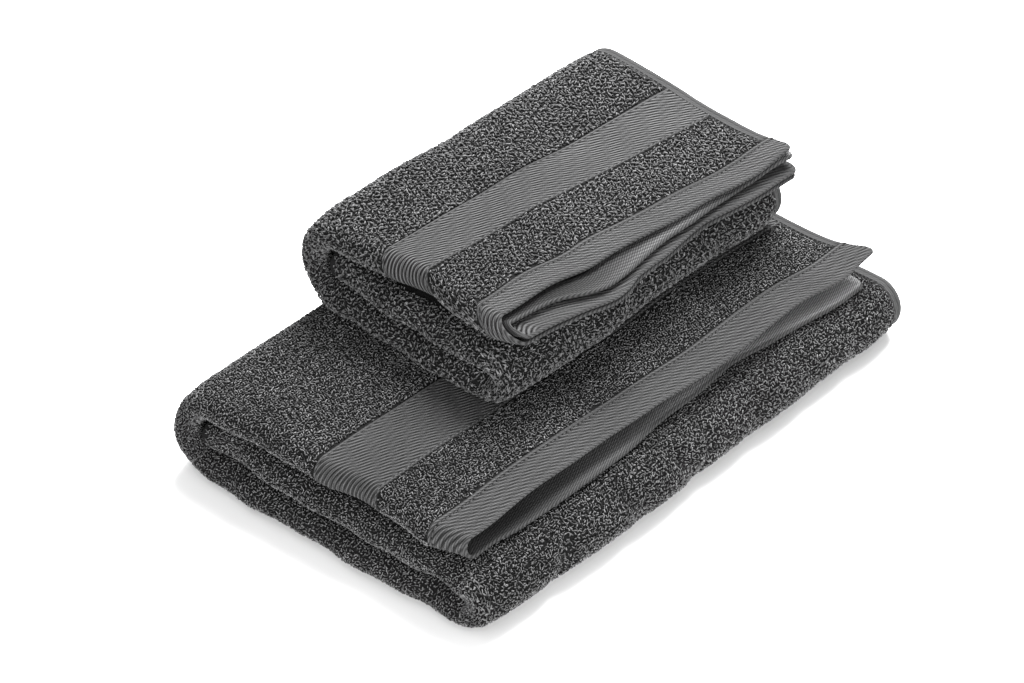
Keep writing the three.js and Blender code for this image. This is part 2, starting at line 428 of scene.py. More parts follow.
@dataclass(frozen=True)
class Finish:
    """One cloth finish: colours, roughness and how its surface is broken up."""

    name: str
    dark: tuple
    light: tuple
    roughness: float = 0.95
    sheen: float = 0.04
    specular: float = 0.06
    bump: float = 0.25
    fibre_size: float = 1500.0
    dye_size: float = 25.0
    floats: float = 0.0             # strength of the weft floats
    float_count: float = 100.0
    float_slant: float = 0.6
    shade_key: str = ""             # attribute of painted shade and highlights that darkens roots and grooves and lightens crowns, times each loop's random tint

    def build(self, yarn: bpy.types.NodeTree, weave: bpy.types.NodeTree) -> bpy.types.Material:
        """Builds the material.

        Args:
            yarn: the spun yarn group.
            weave: the weft floats group.

        Returns:
            The material.
        """
        material = bpy.data.materials.new(self.name)
        material.use_nodes = True
        tree = material.node_tree
        place = add_node(tree, "ShaderNodeTexCoord").outputs
        grain = add_node(tree, "ShaderNodeGroup",
                         {"Vector": place["Object"], "Fibre Size": self.fibre_size,
                          "Dye Size": self.dye_size, "Dark": (*self.dark, 1),
                          "Light": (*self.light, 1)}, node_tree=yarn)
        color, height = grain.outputs["Color"], grain.outputs["Height"]
        if self.floats > 0:
            stitch = add_node(tree, "ShaderNodeGroup",
                              {"Vector": place["UV"], "Count": self.float_count,
                               "Slant": self.float_slant}, node_tree=weave)
            height = stitch.outputs["Mask"]
            color = scaled(tree, color, height, 1.0 - self.floats, 1.0 + 0.35 * self.floats)
        if self.shade_key:
            shade = add_node(tree, "ShaderNodeAttribute", attribute_name=self.shade_key)
            color = scaled(tree, color, shade.outputs["Fac"])
        bump = add_node(tree, "ShaderNodeBump",
                        {"Strength": self.bump, "Distance": 0.0004, "Height": height})
        feed(tree, tree.nodes["Principled BSDF"],
             {"Roughness": self.roughness, "Specular IOR Level": self.specular,
              "Sheen Weight": self.sheen, "Sheen Roughness": 0.5, "Base Color": color,
              "Normal": bump.outputs["Normal"]})
        return material


@dataclass
class Finishes:
    """Every finish of the set, built once."""

    pile: Finish = Finish("terry_loops", (0.046, 0.046, 0.0465), (0.128, 0.128, 0.129),
                          sheen=0.02, specular=0.03, shade_key="shade")
    # near-black ground: painted shade of the gaps between loops, far darker than the yarn itself
    ground: Finish = Finish("terry_ground_painted_shade", (0.003, 0.003, 0.003), (0.012, 0.012, 0.0122),
                            sheen=0.02, specular=0.03, bump=0.8, fibre_size=420.0)
    twill: Finish = Finish("twill_band", (0.035, 0.035, 0.0353), (0.076, 0.076, 0.0767),
                           floats=0.6, float_count=260.0, float_slant=1.2,
                           shade_key="shade", bump=0.35)
    hem: Finish = Finish("woven_hem", (0.034, 0.034, 0.0343), (0.066, 0.066, 0.0666),
                         floats=0.3, float_count=300.0, float_slant=0.2,
                         shade_key="shade", bump=0.35)
    thread: Finish = Finish("sewing_thread", (0.032, 0.032, 0.0323), (0.066, 0.066, 0.0666),
                            roughness=0.8, sheen=0.03, fibre_size=2500.0)
    built: dict = field(default_factory=dict)

    def build(self) -> None:
        """Builds every material."""
        yarn, weave = yarn_group(), weave_group()
        for finish in (self.pile, self.ground, self.twill, self.hem, self.thread):
            self.built[finish.name] = finish.build(yarn, weave)

    def dress(self, piece: bpy.types.Object, finish: Finish, slot: Slot) -> None:
        """Gives a piece its material.

        Args:
            piece: the piece.
            finish: its finish.
            slot: not used.
        """
        piece.data.materials.append(self.built[finish.name])


# ---- a folded towel
@dataclass(frozen=True)
class Ease:
    """How a pack has settled out of its exact fold, in millimetres.

    Each curve is a row of (place, value) knots. Places are runs s along the
    leaf path for the first three and x for the others.
    """

    fold_in: tuple                  # how far the lengthwise fold lies in from -X
    upper_side: tuple               # how far the upper arm reaches out at +X
    lower_side: tuple               # the same for the lower arm
    upper_slide: tuple              # slide of the outer end's upper arm
    lower_slide: tuple              # slide of the outer end's lower arm
    tucked_slide: tuple             # slide of the inner end's upper arm
    tucked_reach: float             # how much further its lower arm slides out
    inset: float                    # how far the inner half's side hems lie in
    front: tuple                    # how far the front fold lies back
    shear: float                    # turn of the lower leaves against the top
    back: float                     # how far the back roll stands out
    rise: float                     # height against the exact pack
    creases: tuple                  # dents of the front: x, width, depth, slant
    hollows: tuple                  # dents of the -X side: y from the front, z,
                                    # width along y and along z, depth
    swell: tuple                    # plane waves of the top face


@dataclass
class FoldedTowel:
    """One towel folded into a pack.

    The sheet is folded end to end, then in half lengthwise, then in three.
    """

    body: Body
    width: float
    length: float
    band: tuple
    tuck: float
    lead: float
    origin: tuple                   # place of the pack's middle, mm
    turn: float                     # turn about Z, degrees
    seed: int
    finishes: Finishes
    ease: Ease
    hem_width: float = END_HEM_WIDTH
    pitch: float = 1.78             # distance between loops
    yarn: tuple = (0.46, 0.6)       # radius of the loops' yarn
    foot: tuple = (1.0, 2.0)        # distance between a loop's feet
    clumping: float = 0.4           # how strongly neighbours lean together
    crown_highlight: float = 1.6              # painted highlight on the ring point of a loop that faces up
    flank_shade: float = 0.05             # painted shade on its flanks
    mixing: float = 0.36            # how unlike each other neighbours' shades are
    hem_cord: float = 2.8           # distance between the cords of the end hems
    cord_painted_shade: tuple = (0.12, 1.35, 5.0)    # painted shade in the cords' grooves, painted highlight on their crowns, and sharpness
    inner_face_light: float = 1.5             # painted light on the hems' inner faces

    def __post_init__(self) -> None:
        """Works out where each leaf starts and ends."""
        self.nose: float = PI * INNER_BEND
        self.path_length: float = (self.length - self.nose + self.tuck) / 2
        front_reach = FRONT_RADIUS + 2 * PITCH
        wrap_reach = WRAP_RADIUS + 2 * PITCH
        leaves = self.path_length - PI * (WRAP_RADIUS + FRONT_RADIUS) + NOSE_CLEARANCE
        self.depth: float = (leaves + 3 * wrap_reach + self.lead + 2 * front_reach) / 3
        self.wrap_y: float = self.depth / 2 - wrap_reach
        self.fold_y: float = front_reach - self.depth / 2
        self.hem_y: float = self.lead - self.depth / 2
        self.straight: float = (self.width - PI * OUTER_BEND) / 2
        self.half: float = (self.straight + REACH) / 2
        self.bend_x: float = REACH - self.half
        self.top: float = self.wrap_y - self.hem_y
        self.bottom: float = self.wrap_y - self.fold_y
        self.wrap_end: float = self.top + PI * WRAP_RADIUS
        self.front_start: float = self.wrap_end + self.bottom
        self.front_end: float = self.front_start + PI * FRONT_RADIUS
        self.rng = np.random.default_rng(self.seed)

    # -- the folds
    def leaf_path(self, s: np.ndarray) -> tuple:
        """Middle line of the leaf in the YZ plane.

        The heading turns by half a circle in the wrap at the back and by
        another half in the front fold; between them the path is straight.

        Args:
            s: run from the outer end hem.

        Returns:
            y and z of the line, and y and z of its outward normal.
        """
        a = np.clip((s - self.top) / WRAP_RADIUS, 0, PI)
        b = np.clip((s - self.front_start) / FRONT_RADIUS, 0, PI)
        y = (self.hem_y + np.minimum(s, self.top)
             - np.clip(s - self.wrap_end, 0, self.bottom)
             + np.maximum(s - self.front_end, 0)
             + WRAP_RADIUS * np.sin(a) - FRONT_RADIUS * np.sin(b))
        z = (2.5 * LEAF - WRAP_RADIUS * (1 - np.cos(a)) + FRONT_RADIUS * (1 - np.cos(b)))
        return y, z, np.sin(a + b), np.cos(a + b)

    def point(self, u: np.ndarray, v: np.ndarray, w: np.ndarray) -> np.ndarray:
        """Carries places on the sheet through the three folds, in metres.

        The end-to-end fold turns (v, w) about the fold's middle into a run s
        and a bend radius. The lengthwise fold turns (u, radius) into x and a
        height over the leaf's middle. The leaf path then carries the height.
        The pack's ease slides the free ends along s before that and moves
        the folded place afterwards.

        Args:
            u: run across the sheet from its upper side hem.
            v: run along the sheet from its outer end hem.
            w: lift above the middle of the cloth, outwards.

        Returns:
            Array of places with a last axis of three.
        """
        u, v, w = np.broadcast_arrays(u, v, w)
        ease = self.ease
        c = np.clip((v - self.path_length) / INNER_BEND, 0, PI)
        s = (np.minimum(v, self.path_length)
             - np.maximum(v - self.path_length - self.nose, 0)
             + (INNER_BEND + w) * np.sin(c))
        middle = PITCH + INNER_BEND * np.cos(c)
        bend = PITCH + (INNER_BEND + w) * np.cos(c)
        straight = (self.width - PI * middle) / 2
        t = np.clip((u - straight) / middle, 0, PI)
        x = (self.bend_x + np.maximum(straight - u, 0)
             + np.maximum(u - (self.width - straight), 0) - bend * np.sin(t))
        out = bend * np.cos(t)
        upper = (1 + np.cos(t)) / 2
        tucked = (1 - np.cos(c)) / 2
        ends = upper * curve(x, ease.upper_slide) + (1 - upper) * curve(x, ease.lower_slide)
        inner = (upper * curve(x, ease.tucked_slide)
                 + (1 - upper) * (curve(x, ease.lower_slide) - ease.tucked_reach))
        ends = ends * (1 - tucked) + tucked * inner
        s = s + ends * (1 - smooth(s, *SLIDE_FADE))
        y, z, ny, nz = self.leaf_path(s)
        y, z = y + out * ny, z + out * nz - LAYER_GAP / 2
        x, y, z = self.settled(x, y, z, s, upper, tucked)
        turn = np.radians(self.turn)
        cos, sin = np.cos(turn), np.sin(turn)
        placed = (x * cos - y * sin + self.origin[0], x * sin + y * cos + self.origin[1],
                  z + self.origin[2])
        return np.stack(placed, axis=-1) * MM

    def settled(self, x: np.ndarray, y: np.ndarray, z: np.ndarray, s: np.ndarray,
                upper: np.ndarray, tucked: np.ndarray) -> tuple:
        """Moves folded places by the pack's ease.

        Args:
            x: place in the pack's own frame.
            y: the same.
            z: the same.
            s: run along the leaf path.
            upper: 1 on the upper arm of the lengthwise fold, 0 on the lower.
            tucked: 1 on the inner half of the sheet, 0 on the outer.

        Returns:
            The moved x, y and z.
        """
        ease, half, front_y = self.ease, self.half, self.depth / 2
        share = np.clip((x + half) / (2 * half), 0, 1)
        side = upper * curve(s, ease.upper_side) + (1 - upper) * curve(s, ease.lower_side)
        side = side - ease.inset * tucked
        fold_side = smooth(-x, half - FOLD_BLEND, half)
        x2 = x + curve(s, ease.fold_in) * (1 - share) + side * share ** 2
        x2 = x2 + fold_side * ripple(y, z, FOLD_WAVES)
        for behind, high, wide, tall, deep in ease.hollows:
            off = ((y + front_y - behind) / wide) ** 2 + ((z - high) / tall) ** 2
            x2 = x2 + fold_side * deep * np.exp(-off)

        low = smooth(s, self.top, self.wrap_end)
        front = smooth(-y, front_y - FRONT_BLEND[0], front_y - FRONT_BLEND[1]) * low
        crease = smooth(-y, front_y - CREASE_BLEND[0], front_y - CREASE_BLEND[1]) * low
        crease = CREASE_SCALE * crease * smooth(z, *CREASE_FOOT) * (1 - smooth(z, *CREASE_TOP))
        y2 = y + front * curve(x, ease.front)
        for place, wide, deep, slant in ease.creases:
            off = (x - place - slant * (z - CREASE_MIDDLE)) / wide
            y2 = y2 + crease * deep * np.exp(-(off ** 2))
        loose = 1 - upper * (1 - smooth(s, *SHEAR_RUN))
        y2 = y2 + ease.shear * x * loose + ease.back * smooth(y, 0, self.wrap_y)
        before, past, deep = BACK_CORNER
        rim = smooth(y, self.wrap_y - before, self.wrap_y + past)
        y2 = y2 - deep * rim * smooth(-x, half - before, half)
        hem = 1 - smooth(s, *HEM_FADE)
        y2 = y2 + hem * ripple(x, z, HEM_WAVES)

        top_leaf = smooth(z, 2 * LEAF, 2 * LEAF + 4)
        z2 = z * ease.rise - HEM_SINK * np.maximum(z - 2 * LEAF, 0) * hem
        z2 = z2 + ripple(x, y, ease.swell) * smooth(z, 0.1 * LEAF, 3 * LEAF)
        reach, lift = LIP_CORNER
        z2 = z2 + lift * (smooth(x, half - reach, half) * hem * upper) * top_leaf
        reach, drop = LIP_EDGE
        z2 = z2 - drop * smooth(x, half - reach, half) * (1 - hem) * top_leaf
        return x2, y2, np.maximum(z2, 0.0)

    # -- runs on the sheet
    def cloth_rows(self) -> np.ndarray:
        """Runs along the sheet for the ground cloth, close in the bends."""
        low, high = self.band
        knots = [0, 4, self.hem_width, low, high, self.top, self.wrap_end,
                 self.front_start, self.front_end, self.path_length]
        nose = even_runs([self.path_length, self.path_length + self.nose], (NOSE_STEP,))
        inner = [k - self.tuck if k > high else k for k in knots]
        return np.concatenate([even_runs(knots, OUTER_STEPS), nose[1:-1],
                               self.length - even_runs(inner, INNER_STEPS)[::-1]])

    def fold_columns(self, v: np.ndarray, count: int) -> np.ndarray:
        """Runs across the sheet for each row, close in the lengthwise fold.

        Args:
            v: rows.
            count: columns on each straight arm.

        Returns:
            Array of rows by columns.
        """
        c = np.clip((v - self.path_length) / INNER_BEND, 0, PI)
        middle = PITCH + INNER_BEND * np.cos(c)
        straight = ((self.width - PI * middle) / 2)[:, None]
        arm = np.linspace(0, 1, count, endpoint=False)[None, :]
        half_turn = np.linspace(0, 1, 15)[None, :]
        first = arm * straight
        fold = straight + half_turn * (PI * middle)[:, None]
        last = self.width - first[:, ::-1]
        return np.concatenate([first, fold, last], axis=1)

    def shell(self, name: str, outer: np.ndarray, inner: np.ndarray,
              flat: np.ndarray) -> bpy.types.Object:
        """Closed body between two grids of places.

        Args:
            name: object's name.
            outer: outer face, rows by columns by three.
            inner: inner face, the same.
            flat: place of each grid point on the flat cloth.

        Returns:
            The object.
        """
        rows, columns = outer.shape[:2]
        count = rows * columns
        index = np.arange(count).reshape(rows, columns)
        left, right, first, last = index[:, 0], index[:, -1], index[0], index[-1]
        a = np.concatenate([left[:-1], right[1:], first[1:], last[:-1]])
        b = np.concatenate([left[1:], right[:-1], first[:-1], last[1:]])
        face = grid_faces(rows, columns)
        sides = np.stack([a, b, b + count, a + count], axis=1)
        faces = np.concatenate([face, face[:, ::-1] + count, sides])[:, ::-1]
        points = np.concatenate([outer.reshape(-1, 3), inner.reshape(-1, 3)])
        return mesh_object(name, points, faces,
                           np.concatenate([flat.reshape(-1, 2)] * 2) * MM)

    # -- the cloth
    def build_cloth(self) -> bpy.types.Object:
        """Ground cloth: the whole folded sheet, thin where loops stand on it.

        Its edges draw in under the end hems, most at the corners.

        Returns:
            The ground cloth.
        """
        rounding, base, most, fade = 9.0, 1.2, 8.5, 20
        v = self.cloth_rows()
        u = self.fold_columns(v, round(self.width / COLUMN_STEP))
        rows = np.broadcast_to(v[:, None], u.shape)
        half = self.cloth_half(u, rows)
        end = np.minimum(rows, self.length - rows)
        inset = (base + most * self.corner(u, rounding)) * (1 - smooth(end, 0, fade))
        laid = rows + np.where(rows < self.length / 2, inset, -inset)
        made = self.shell(f"{self.body.value}_ground", self.point(u, laid, half[0]),
                          self.point(u, laid, -half[1]), np.stack([u, rows], axis=-1))
        # its near-black finish is painted shade between the loops
        self.finishes.dress(made, self.finishes.ground, Slot.CLOTH)
        return made

    def corner(self, u: np.ndarray, radius: float) -> np.ndarray:
        """Draw of the sheet's rounded corners.

        Args:
            u: run across.
            radius: radius of the rounding.

        Returns:
            1 - root(1 - t^2), where t runs from 0 to 1 at a side edge.
        """
        t = np.clip(1 - np.minimum(u, self.width - u) / radius, 0, 1)
        return 1 - np.sqrt(1 - t ** 2)

    def cloth_half(self, u: np.ndarray, v: np.ndarray) -> tuple:
        """Half thickness of the ground cloth on its outer and inner face.

        Args:
            u: run across.
            v: run along.

        Returns:
            Outer and inner half thickness. Hidden cloth keeps the full height
            of its loops; cloth that loops, band or hems cover is thin.
        """
        edge = np.minimum(u, self.width - u)
        end = np.minimum(v, self.length - v)
        covered = (end <= self.band[1] + 2) & (end >= self.band[0] - 2)
        thin = (edge <= SIDE_HEM_WIDTH + 1) | (end <= self.hem_width + 1) | covered
        outer = np.where(thin | self.open_to_view(u, v), GROUND, TERRY / 2)
        return outer, np.where(thin, GROUND, TERRY / 2 - 0.1)

    def open_to_view(self, u: np.ndarray, v: np.ndarray) -> np.ndarray:
        """Whether the outer face at (u, v) can be seen and so carries loops.

        Args:
            u: run across.
            v: run along.

        Returns:
            Mask of the lengthwise fold, the upper arm as far as the underside
            of the middle leaf, and a strip by the hem of the lower arm.
        """
        fold = (u > self.straight - 6) & (u < self.width - self.straight + 9)
        upper_arm = (u <= self.straight) & (v <= self.front_end + 42)
        low_front = (v <= self.hem_width + 14) & (u > self.straight)
        return (v <= self.path_length) & (fold | upper_arm | low_front)

    # -- the pile
    def loop_places(self) -> tuple:
        """Roots of the loops on the outer face, evenly spread once folded.

        Returns:
            u and v of each root.
        """
        pitch = self.pitch
        v = even_runs([self.hem_width + 0.8, self.top, self.wrap_end, self.front_start,
                       self.front_end, self.path_length],
                      (pitch, pitch / WRAP_STRETCH, pitch * 1.05, pitch / FRONT_STRETCH, pitch))
        u = even_runs([SIDE_HEM_WIDTH + 0.8, self.straight, self.width - self.straight,
                       self.width - SIDE_HEM_WIDTH - 0.8],
                      (pitch, pitch / FOLD_STRETCH, pitch))
        gu, gv = np.meshgrid(u, v)
        gu = gu + pitch * 0.5 * (np.arange(len(v)) % 2)[:, None]
        gu = gu + self.rng.uniform(-SCATTER, SCATTER, gu.shape) * pitch
        gv = gv + self.rng.uniform(-SCATTER, SCATTER, gu.shape) * pitch
        low, high = self.band
        keep = self.open_to_view(gu, gv)
        keep &= (gv < low - BAND_MARGIN) | (gv > high + BAND_MARGIN)
        keep &= (gv > self.hem_width + 0.6) & (gu > SIDE_HEM_WIDTH + 0.5)
        return gu[keep], gv[keep]

    def stretch(self, u: np.ndarray, v: np.ndarray) -> np.ndarray:
        """How much the outer face is drawn out by the folds at (u, v).

        Args:
            u: run across.
            v: run along.

        Returns:
            Factors along u, along v and across the cloth, one row each.
        """
        fold = (u > self.straight) & (u < self.width - self.straight)
        wrap = ~fold & (v > self.top) & (v < self.wrap_end)
        front = ~fold & (v > self.front_start) & (v < self.front_end)
        along_u = np.where(fold, FOLD_STRETCH, 1.0)
        along_v = np.where(front, FRONT_STRETCH, np.where(wrap, WRAP_STRETCH, 1.0))
        return np.stack([along_u, along_v, np.ones(len(u))], axis=-1)

    def loop_points(self, u: np.ndarray, v: np.ndarray, clump: np.ndarray) -> np.ndarray:
        """Eight points for each loop, on the flat cloth.

        Each loop is an arch of yarn from foot to foot that leans over and
        twists: centre = root + foot * (t - 1/2) + lean * sin(pi t)
        + side * sin(2 pi t), lift = root height + rise * sin(pi t), with a
        three-sided ring at both inner stations and a point at each foot. The
        lean has a part that draws neighbours into clumps: the slope of a sum
        of plane waves. What the folds will draw out is taken in first.

        Args:
            u: run across of each root.
            v: run along of each root.
            clump: height of the clumps at each root.

        Returns:
            Loops by eight by three: u, v and lift.
        """
        count, rng = len(u), self.rng
        pulls = [ripple(u, v, tuple((wave[0] / wave[axis], *wave[1:3], wave[3] + PI / 2)
                                    for wave in CLUMPS)) for axis in (1, 2)]
        heading = rng.uniform(0, 2 * PI, count)
        lean_way = rng.uniform(0, 2 * PI, count)
        foot = rng.uniform(*self.foot, count)
        lean = rng.uniform(0.0, LEAN, count)
        side = rng.uniform(-TWIST, TWIST, count)
        rise = (rng.uniform(*RISE, count) + CLUMP_LIFT_AND_LIGHT * clump).clip(*RISE_LIMITS)
        yarn = rng.uniform(*self.yarn, count)
        pull = CLUMP_PULL * self.clumping

        t = STATIONS[None, :]
        arch, wag = np.sin(PI * t), np.sin(2 * PI * t)
        hu, hv = np.cos(heading)[:, None], np.sin(heading)[:, None]
        lu = (np.cos(lean_way) * lean + pull * pulls[0])[:, None]
        lv = (np.sin(lean_way) * lean + pull * pulls[1])[:, None]
        along = foot[:, None] * (t - 0.5)
        centre = np.stack([u[:, None] + hu * along + lu * arch - hv * side[:, None] * wag,
                           v[:, None] + hv * along + lv * arch + hu * side[:, None] * wag,
                           ROOT_LIFT + rise[:, None] * arch], axis=-1)
        tangent = centre[:, 2:, :] - centre[:, :-2, :]
        tangent /= np.linalg.norm(tangent, axis=-1, keepdims=True)
        across = np.cross(tangent, np.array([0.0, 0.0, 1.0]))
        across /= np.linalg.norm(across, axis=-1, keepdims=True) + 1e-9
        raised = np.cross(across, tangent)
        angle = (PI / 2 + np.arange(3) * 2 * PI / 3)[:, None]
        ring = across[:, :, None] * np.cos(angle) + raised[:, :, None] * np.sin(angle)
        rings = centre[:, 1:-1, None, :] + ring * yarn[:, None, None, None]
        spots = np.concatenate([centre[:, :1, :], rings.reshape(count, 6, 3),
                                centre[:, -1:, :]], axis=1)
        root = np.stack([u, v, np.zeros(count)], axis=-1)[:, None, :]
        return root + (spots - root) / self.stretch(u, v)[:, None, :]

    def build_pile(self) -> list:
        """Loops of the pile, in pieces of a size that exports whole.

        The shade is painted light: dark at the feet, a highlight on the ring point
        that faces up and low on the two flanks, times a random tint for each loop.

        Returns:
            The pieces.
        """
        u, v = self.loop_places()
        clump = self.clumping * ripple(u, v, CLUMPS)
        spots = self.loop_points(u, v, clump)
        # the random tint is the loops' own tone; the clump term is painted light on raised clumps
        tint = self.rng.normal(1.0, self.mixing, len(u)) + CLUMP_LIFT_AND_LIGHT * clump
        tint = tint.clip(*TINT_LIMITS)
        # painted light: shade 0 at the feet, a painted highlight on the upward ring point,
        # painted shade on the flanks
        ring = (self.crown_highlight, self.flank_shade, self.flank_shade)
        shade = tint[:, None] * np.array([0.0, *ring, *ring, 0.0])
        pieces = []
        order = np.argsort(v, kind="stable")
        for number, start in enumerate(range(0, len(u), LOOPS_A_PIECE)):
            chosen = order[start:start + LOOPS_A_PIECE]
            here = spots[chosen]
            base = (np.arange(len(chosen)) * 8)[:, None, None]
            made = mesh_object(f"{self.body.value}_loops_{number + 1}",
                               self.point(*np.moveaxis(here, -1, 0)).reshape(-1, 3),
                               (LOOP_QUADS + base).reshape(-1, 4),
                               here[..., :2].reshape(-1, 2) * MM,
                               {"shade": shade[chosen].reshape(-1)},
                               (LOOP_TRIANGLES + base).reshape(-1, 3))
            self.finishes.dress(made, self.finishes.pile, Slot.CLOTH)
            pieces.append(made)
        return pieces

    # -- woven band and hems
    @staticmethod
    def twill(u: np.ndarray, v: np.ndarray, pitch: float, slant: float) -> np.ndarray:
        """Height of the slanted cords of the flat weave, from 0 to 1.

        The cords wander by a sum of slow and quick waves.

        Args:
            u: run across.
            v: run along.
            pitch: distance between cords.
            slant: angle of the cords to the hem, degrees.

        Returns:
            Height.
        """
        turn = np.radians(slant)
        bend = 0.25 * np.sin(u / 17.0 + v / 9.0) + 0.2 * np.sin(u / 41.0)
        bend = bend + 0.12 * np.sin(u / 1.9 + v / 2.7) + 0.1 * np.sin(u / 0.83 - v / 1.1)
        return cord_section((v * np.cos(turn) - u * np.sin(turn) + bend) / pitch)[1]

    def flat_weave(self, u: np.ndarray, v: np.ndarray, low: float, high: float,
                   ridges: tuple, cord: tuple) -> tuple:
        """Relief of a strip of slanted cords between round border ridges.

        Past the lengthwise fold the cords turn back the other way and their
        painted shade evens out. A ridge is braided by a wave along it, which also varies its
        painted shade.

        Args:
            u: run across.
            v: run along.
            low: first border.
            high: last border.
            ridges: ridges at the first border, at the last, and their width.
            cord: pitch and slant of the cords.

        Returns:
            Relief from 0 to 1, and painted shade from dark grooves to painted highlights on the
            crowns.
        """
        first, last, wide = ridges
        groove_shade, crown_highlight, sharpness = self.cord_painted_shade
        start, span, strength = CORD_TURN
        past = np.clip((u - self.width / 2 - start) / span, 0, None)
        part = np.minimum(past, 1)
        back_turn = span * (part ** 3 - part ** 4 / 2 + np.maximum(past - 1, 0))
        cords = self.twill(u - strength * back_turn, v, *cord)
        depth, back = (v - low) / wide, (high - v) / wide
        at = np.where(depth < first, depth, back)
        side, ridge = cord_section(at)
        plait, slant = BRAID
        braid = 0.5 + 0.5 * np.sin(2 * PI * (u / plait + slant * side))
        border = (depth < first) | (back < last)
        relief = np.where(border, 0.2 + 1.1 * ridge * (0.6 + 0.4 * braid), cords)
        # painted shade: dark between the border ridges and in the cords' grooves, painted
        # highlight on ridge and cord crowns
        shade = np.where(border, 1.45 * ridge ** 3 * (0.5 + 0.6 * braid),
                         groove_shade + crown_highlight * cords ** sharpness)
        even, share = EVEN_SHADE
        return relief, shade + (even - shade) * share * part

    def build_band(self) -> bpy.types.Object:
        """Flat woven band on the outer face of the top leaf.

        Its section is a thin strip: the cords' relief above, a plain back
        below, swept across the sheet.

        Returns:
            The band.
        """
        low, high = self.band
        base, height, back_lift = 0.45, 0.85, 0.2
        u = even_runs([SIDE_HEM_WIDTH - 1, self.straight, self.width - self.straight,
                       self.width - self.straight + 10], (0.7, 0.5, 0.8))
        v = even_runs([low - 0.5, high + 0.5], (0.5,))
        run = np.concatenate([v, even_runs([low, high], (12.0,))[::-1]])
        on_top = np.arange(len(run)) < len(v)
        gu, gv = np.meshgrid(u, run)
        relief, shade = self.flat_weave(gu, gv, low, high, (1, 1, 2.4), (2.5, 27.4))
        rim = smooth(gv, low - 0.5, low + 0.6) * (1 - smooth(gv, high - 0.6, high + 0.5))
        lift = np.where(on_top[:, None], base + (0.35 + height * relief) * rim, back_lift)
        return self.tube("band", (gu, gv, lift), shade, self.finishes.twill, True)

    def build_end_hem(self, inner_end: bool) -> bpy.types.Object:
        """Turned end hem: a flat tube of twill round the edge of the sheet.

        Its section runs from the seam along the outer face, round the edge
        in a half circle and back along the inner face. The inner face has
        calmer cords, and painted light makes it lighter at its lip and towards the side hems.

        Args:
            inner_end: whether it is the end tucked inside the fold.

        Returns:
            The hem.
        """
        half, ridges = 1.3, (0, 1, 2.9)
        outer_cord, inner_cord = (self.hem_cord, 33.0), (2.3, 20.0)
        rounding, drawn_in, fade = 6.0, 6.0, 18
        floor, relief_height, lip_height = half - 0.75, 0.8, 0.7
        lip_shade, lip_light_gain, lip_reach = 0.85, 0.8, (1, 11)
        hidden = inner_end and self.tuck > 10
        across, fine = (6.0, 2.5) if hidden else (0.75, 0.65)
        face_run = even_runs([half, self.hem_width + 0.4], (fine,))
        turn = np.linspace(PI / 2, -PI / 2, 7)[1:-1]
        flat_side = np.ones(len(face_run))
        run = np.concatenate([face_run[::-1], half - half * np.cos(turn), face_run])
        face = np.concatenate([flat_side, np.sin(turn), -flat_side])
        u = even_runs([0.0, self.straight, self.width - self.straight, self.width],
                      (across, min(across, 0.6), across))
        gu, gv = np.meshgrid(u, run)
        sign = np.broadcast_to(face[:, None], gu.shape)
        relief, shade = self.flat_weave(gu, gv, 0.0, self.hem_width, ridges, outer_cord)
        calmed = self.flat_weave(gu, gv, 0.0, self.hem_width, ridges, inner_cord)
        relief = np.where(sign < 0, 0.3 + 0.4 * calmed[0], relief)
        # painted light: the inner face lit brighter near its lip and towards the side hems
        lip = 1 + lip_light_gain * (1 - smooth(gv, *lip_reach))
        reach = np.abs(2 * gu / self.width - 1)
        lip = self.inner_face_light * lip * np.maximum(0.3, 3.0 * reach - 0.15)
        shade = np.where(sign < 0, (0.45 + 0.5 * calmed[1]) * lip, shade)
        calm = smooth(gv, 0.6, 2.8)
        rim = 1 - smooth(gv, self.hem_width - 0.3, self.hem_width + 0.4)
        lift = sign * (floor + relief_height * relief * calm * rim + lip_height * (1 - calm))
        shade = shade * calm + lip_shade * (1 - calm)
        wave = 0.5 * np.sin(gu / 31.0) + 0.3 * np.sin(gu / 12.3 + 1)
        v = gv + (wave + drawn_in * self.corner(gu, rounding)) * (1 - smooth(gv, 0, fade))
        if inner_end:
            v = self.length - v
        return self.tube(f"{'inner' if inner_end else 'outer'}_end_hem", (gu, v, lift),
                         shade, self.finishes.twill, inner_end)

    def tube(self, part: str, places: tuple, shade: np.ndarray, finish: Finish,
             flip: bool) -> bpy.types.Object:
        """Closed body from sections joined side by side.

        Args:
            part: what the object is called after its body.
            places: u, v and lift, section points by stations.
            shade: painted shade and highlight of each point.
            finish: the finish.
            flip: whether the faces are turned round.

        Returns:
            The object.
        """
        rows = self.point(*places).transpose(1, 0, 2)
        stations, around = rows.shape[:2]
        faces = grid_faces(stations, around, round_rows=True)
        count = stations * around
        points = np.concatenate([rows.reshape(-1, 3), rows[0].mean(0)[None],
                                 rows[-1].mean(0)[None]])
        k = np.arange(around)
        following = (k + 1) % around
        last = (stations - 1) * around
        caps = np.concatenate([
            np.stack([np.full(around, count), following, k], axis=1),
            np.stack([np.full(around, count + 1), last + k, last + following], axis=1)])
        if flip:
            faces, caps = faces[:, ::-1], caps[:, ::-1]
        flat = np.stack(places[:2], axis=-1).transpose(1, 0, 2).reshape(-1, 2)
        flat = np.concatenate([flat, flat[:1], flat[-1:]]) * MM
        painted_shade = shade.transpose(1, 0).reshape(-1)
        painted_shade = np.concatenate([painted_shade, painted_shade[:1], painted_shade[-1:]])
        made = mesh_object(f"{self.body.value}_{part}", points, faces, flat,
                           {"shade": painted_shade}, caps)
        self.finishes.dress(made, finish, Slot.CLOTH)
        return made

